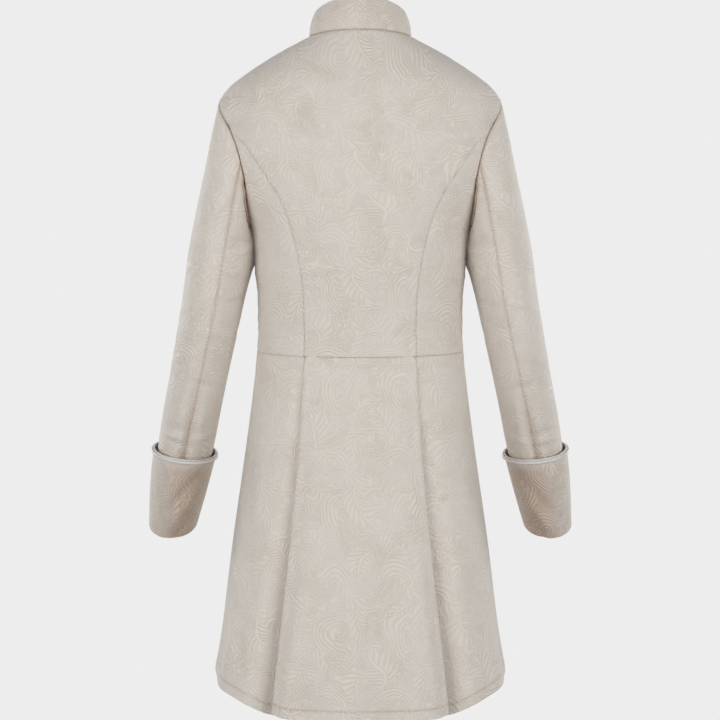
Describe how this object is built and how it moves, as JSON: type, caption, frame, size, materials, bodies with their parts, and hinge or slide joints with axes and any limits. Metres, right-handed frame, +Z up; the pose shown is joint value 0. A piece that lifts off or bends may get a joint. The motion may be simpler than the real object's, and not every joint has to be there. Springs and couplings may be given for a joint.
{
  "type": "long frock coat, worn shape",
  "caption": "Knee-length fitted frock coat in cream brocade, hollow as if worn, with a stand collar, waist seam, pleated skirt and turned-back piped cuffs.",
  "frame": {"origin": "middle of the neck, level with the sides of the collar seam, where the wearer's neck and shoulders carry the coat", "axes": "+Z up along the back, -Y out of the buttoned front, +X toward the wearer's left"},
  "size_m": [0.6654, 0.2986, 1.0225],
  "materials": {
    "brocade": "cream self-coloured brocade, raised leaf and scroll weave with a soft satin sheen",
    "piping": "pale grey satin folded over a cord",
    "button": "plain cream-brown horn-like buttons, softly polished"
  },
  "bodies": {
    "root": {"back": "brocade", "side_back_left": "brocade", "side_back_right": "brocade", "front_left": "brocade", "front_right": "brocade", "skirt_back": "brocade", "skirt_left": "brocade", "skirt_right": "brocade", "collar": "brocade", "sleeve_upper_left": "brocade", "sleeve_upper_right": "brocade", "sleeve_under_left": "brocade", "sleeve_under_right": "brocade", "cuff_left": "brocade", "cuff_right": "brocade", "piping_left": "piping", "piping_right": "piping", "button_1": "button", "button_2": "button", "button_3": "button", "button_4": "button", "button_5": "button", "button_6": "button", "button_7": "button", "button_8": "button"}
  },
  "joints": []
}
